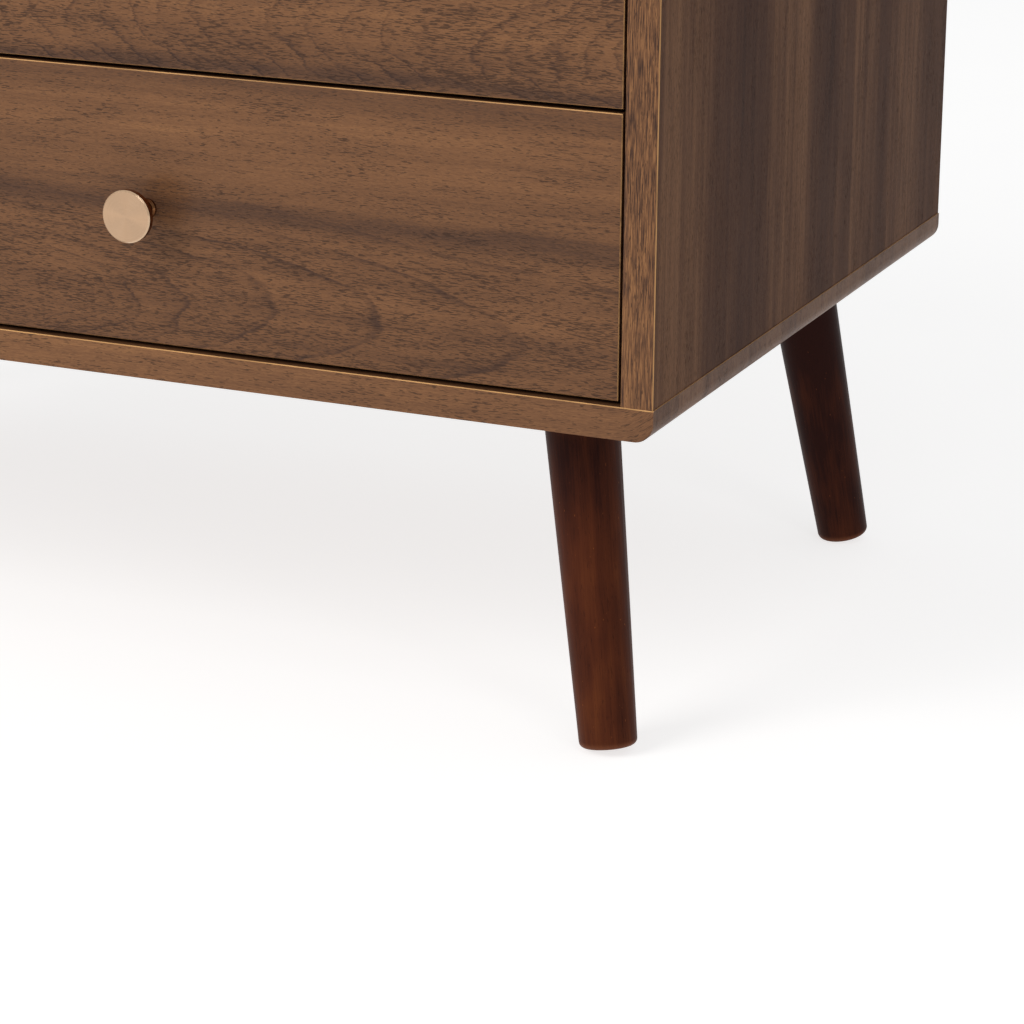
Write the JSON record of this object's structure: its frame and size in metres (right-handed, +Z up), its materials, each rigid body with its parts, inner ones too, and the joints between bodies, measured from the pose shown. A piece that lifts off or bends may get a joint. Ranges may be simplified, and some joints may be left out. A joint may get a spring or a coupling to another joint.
{
  "type": "nightstand with drawers",
  "caption": "Mid-century nightstand with inset drawer fronts, round metal knobs and splayed tapered legs; the drawers slide out on roller runners.",
  "frame": {"origin": "on the floor, at the middle of the box around the whole piece, knobs included", "axes": "+X to the right seen from the front, +Y to the back (the drawers open towards -Y), +Z up"},
  "size_m": [0.731, 0.4452, 0.4525],
  "materials": {
    "walnut_laminate": "semi-gloss walnut grain laminate",
    "leg_wood": "espresso stained, satin lacquer",
    "box_board": "matt paper-faced board",
    "hardboard": "matt hardboard",
    "dowel": "raw beech",
    "knob_metal": "brushed face, polished rim",
    "runner_steel": "white epoxy powder coat",
    "roller_plastic": "moulded nylon",
    "leg_plate": "black painted steel",
    "zinc": "zinc plated"
  },
  "bodies": {
    "cabinet": {"bottom_panel": "walnut_laminate", "top_panel": "walnut_laminate", "side_panel_left": "walnut_laminate", "side_panel_right": "walnut_laminate", "back_panel": "hardboard", "carcass_dowels": "dowel", "cam_bolts": "zinc", "cam_housings": "zinc", "leg_bolts": "zinc", "leg_plate_screws": "zinc", "front_roller_axles": "zinc", "cabinet_runner_screws": "zinc", "leg_front_left": "leg_wood", "leg_plate_front_left": "leg_plate", "leg_front_right": "leg_wood", "leg_plate_front_right": "leg_plate", "leg_rear_left": "leg_wood", "leg_plate_rear_left": "leg_plate", "leg_rear_right": "leg_wood", "leg_plate_rear_right": "leg_plate", "cabinet_runner_lower_left": "runner_steel", "cabinet_runner_lower_right": "runner_steel", "cabinet_runner_upper_left": "runner_steel", "cabinet_runner_upper_right": "runner_steel"},
    "drawer_lower": {"drawer_lower_front": "walnut_laminate", "drawer_lower_side_left": "box_board", "drawer_lower_side_right": "box_board", "drawer_lower_back": "box_board", "drawer_lower_bottom": "hardboard", "drawer_lower_dowels": "dowel", "drawer_lower_knob_left": "knob_metal", "drawer_lower_knob_right": "knob_metal", "drawer_lower_knob_screws": "zinc", "drawer_lower_runner_left": "runner_steel", "drawer_lower_runner_right": "runner_steel", "drawer_lower_axles": "zinc", "drawer_lower_runner_screws": "zinc"},
    "front_roller_lower_left": {"front_roller_lower_left": "roller_plastic"},
    "rear_roller_lower_left": {"rear_roller_lower_left": "roller_plastic"},
    "front_roller_lower_right": {"front_roller_lower_right": "roller_plastic"},
    "rear_roller_lower_right": {"rear_roller_lower_right": "roller_plastic"},
    "drawer_upper": {"drawer_upper_front": "walnut_laminate", "drawer_upper_side_left": "box_board", "drawer_upper_side_right": "box_board", "drawer_upper_back": "box_board", "drawer_upper_bottom": "hardboard", "drawer_upper_dowels": "dowel", "drawer_upper_knob_left": "knob_metal", "drawer_upper_knob_right": "knob_metal", "drawer_upper_knob_screws": "zinc", "drawer_upper_runner_left": "runner_steel", "drawer_upper_runner_right": "runner_steel", "drawer_upper_axles": "zinc", "drawer_upper_runner_screws": "zinc"},
    "front_roller_upper_left": {"front_roller_upper_left": "roller_plastic"},
    "rear_roller_upper_left": {"rear_roller_upper_left": "roller_plastic"},
    "front_roller_upper_right": {"front_roller_upper_right": "roller_plastic"},
    "rear_roller_upper_right": {"rear_roller_upper_right": "roller_plastic"}
  },
  "joints": [
    {"name": "drawer_lower_slide", "type": "slide", "parent": "cabinet", "child": "drawer_lower", "axis": [0, -1, 0], "range_m": [0, 0.265]},
    {"name": "front_roller_lower_left_spin", "type": "hinge", "parent": "cabinet", "child": "front_roller_lower_left", "pos_m": [-0.34485, -0.17355, 0.205], "axis": [1, 0, 0], "range_deg": [0, 1270.3]},
    {"name": "rear_roller_lower_left_spin", "type": "hinge", "parent": "drawer_lower", "child": "rear_roller_lower_left", "pos_m": [-0.34285, 0.15045, 0.203], "axis": [1, 0, 0], "range_deg": [0, 1270.3]},
    {"name": "front_roller_lower_right_spin", "type": "hinge", "parent": "cabinet", "child": "front_roller_lower_right", "pos_m": [0.34485, -0.17355, 0.205], "axis": [1, 0, 0], "range_deg": [0, 1270.3]},
    {"name": "rear_roller_lower_right_spin", "type": "hinge", "parent": "drawer_lower", "child": "rear_roller_lower_right", "pos_m": [0.34285, 0.15045, 0.203], "axis": [1, 0, 0], "range_deg": [0, 1270.3]},
    {"name": "drawer_upper_slide", "type": "slide", "parent": "cabinet", "child": "drawer_upper", "axis": [0, -1, 0], "range_m": [0, 0.265]},
    {"name": "front_roller_upper_left_spin", "type": "hinge", "parent": "cabinet", "child": "front_roller_upper_left", "pos_m": [-0.34485, -0.17355, 0.334], "axis": [1, 0, 0], "range_deg": [0, 1270.3]},
    {"name": "rear_roller_upper_left_spin", "type": "hinge", "parent": "drawer_upper", "child": "rear_roller_upper_left", "pos_m": [-0.34285, 0.15045, 0.332], "axis": [1, 0, 0], "range_deg": [0, 1270.3]},
    {"name": "front_roller_upper_right_spin", "type": "hinge", "parent": "cabinet", "child": "front_roller_upper_right", "pos_m": [0.34485, -0.17355, 0.334], "axis": [1, 0, 0], "range_deg": [0, 1270.3]},
    {"name": "rear_roller_upper_right_spin", "type": "hinge", "parent": "drawer_upper", "child": "rear_roller_upper_right", "pos_m": [0.34285, 0.15045, 0.332], "axis": [1, 0, 0], "range_deg": [0, 1270.3]}
  ],
  "couplings": [
    {"joint": "front_roller_lower_left_spin", "follows": "drawer_lower_slide", "rad_per_m": 83.333},
    {"joint": "rear_roller_lower_left_spin", "follows": "drawer_lower_slide", "rad_per_m": 83.333},
    {"joint": "front_roller_lower_right_spin", "follows": "drawer_lower_slide", "rad_per_m": 83.333},
    {"joint": "rear_roller_lower_right_spin", "follows": "drawer_lower_slide", "rad_per_m": 83.333},
    {"joint": "front_roller_upper_left_spin", "follows": "drawer_upper_slide", "rad_per_m": 83.333},
    {"joint": "rear_roller_upper_left_spin", "follows": "drawer_upper_slide", "rad_per_m": 83.333},
    {"joint": "front_roller_upper_right_spin", "follows": "drawer_upper_slide", "rad_per_m": 83.333},
    {"joint": "rear_roller_upper_right_spin", "follows": "drawer_upper_slide", "rad_per_m": 83.333}
  ]
}
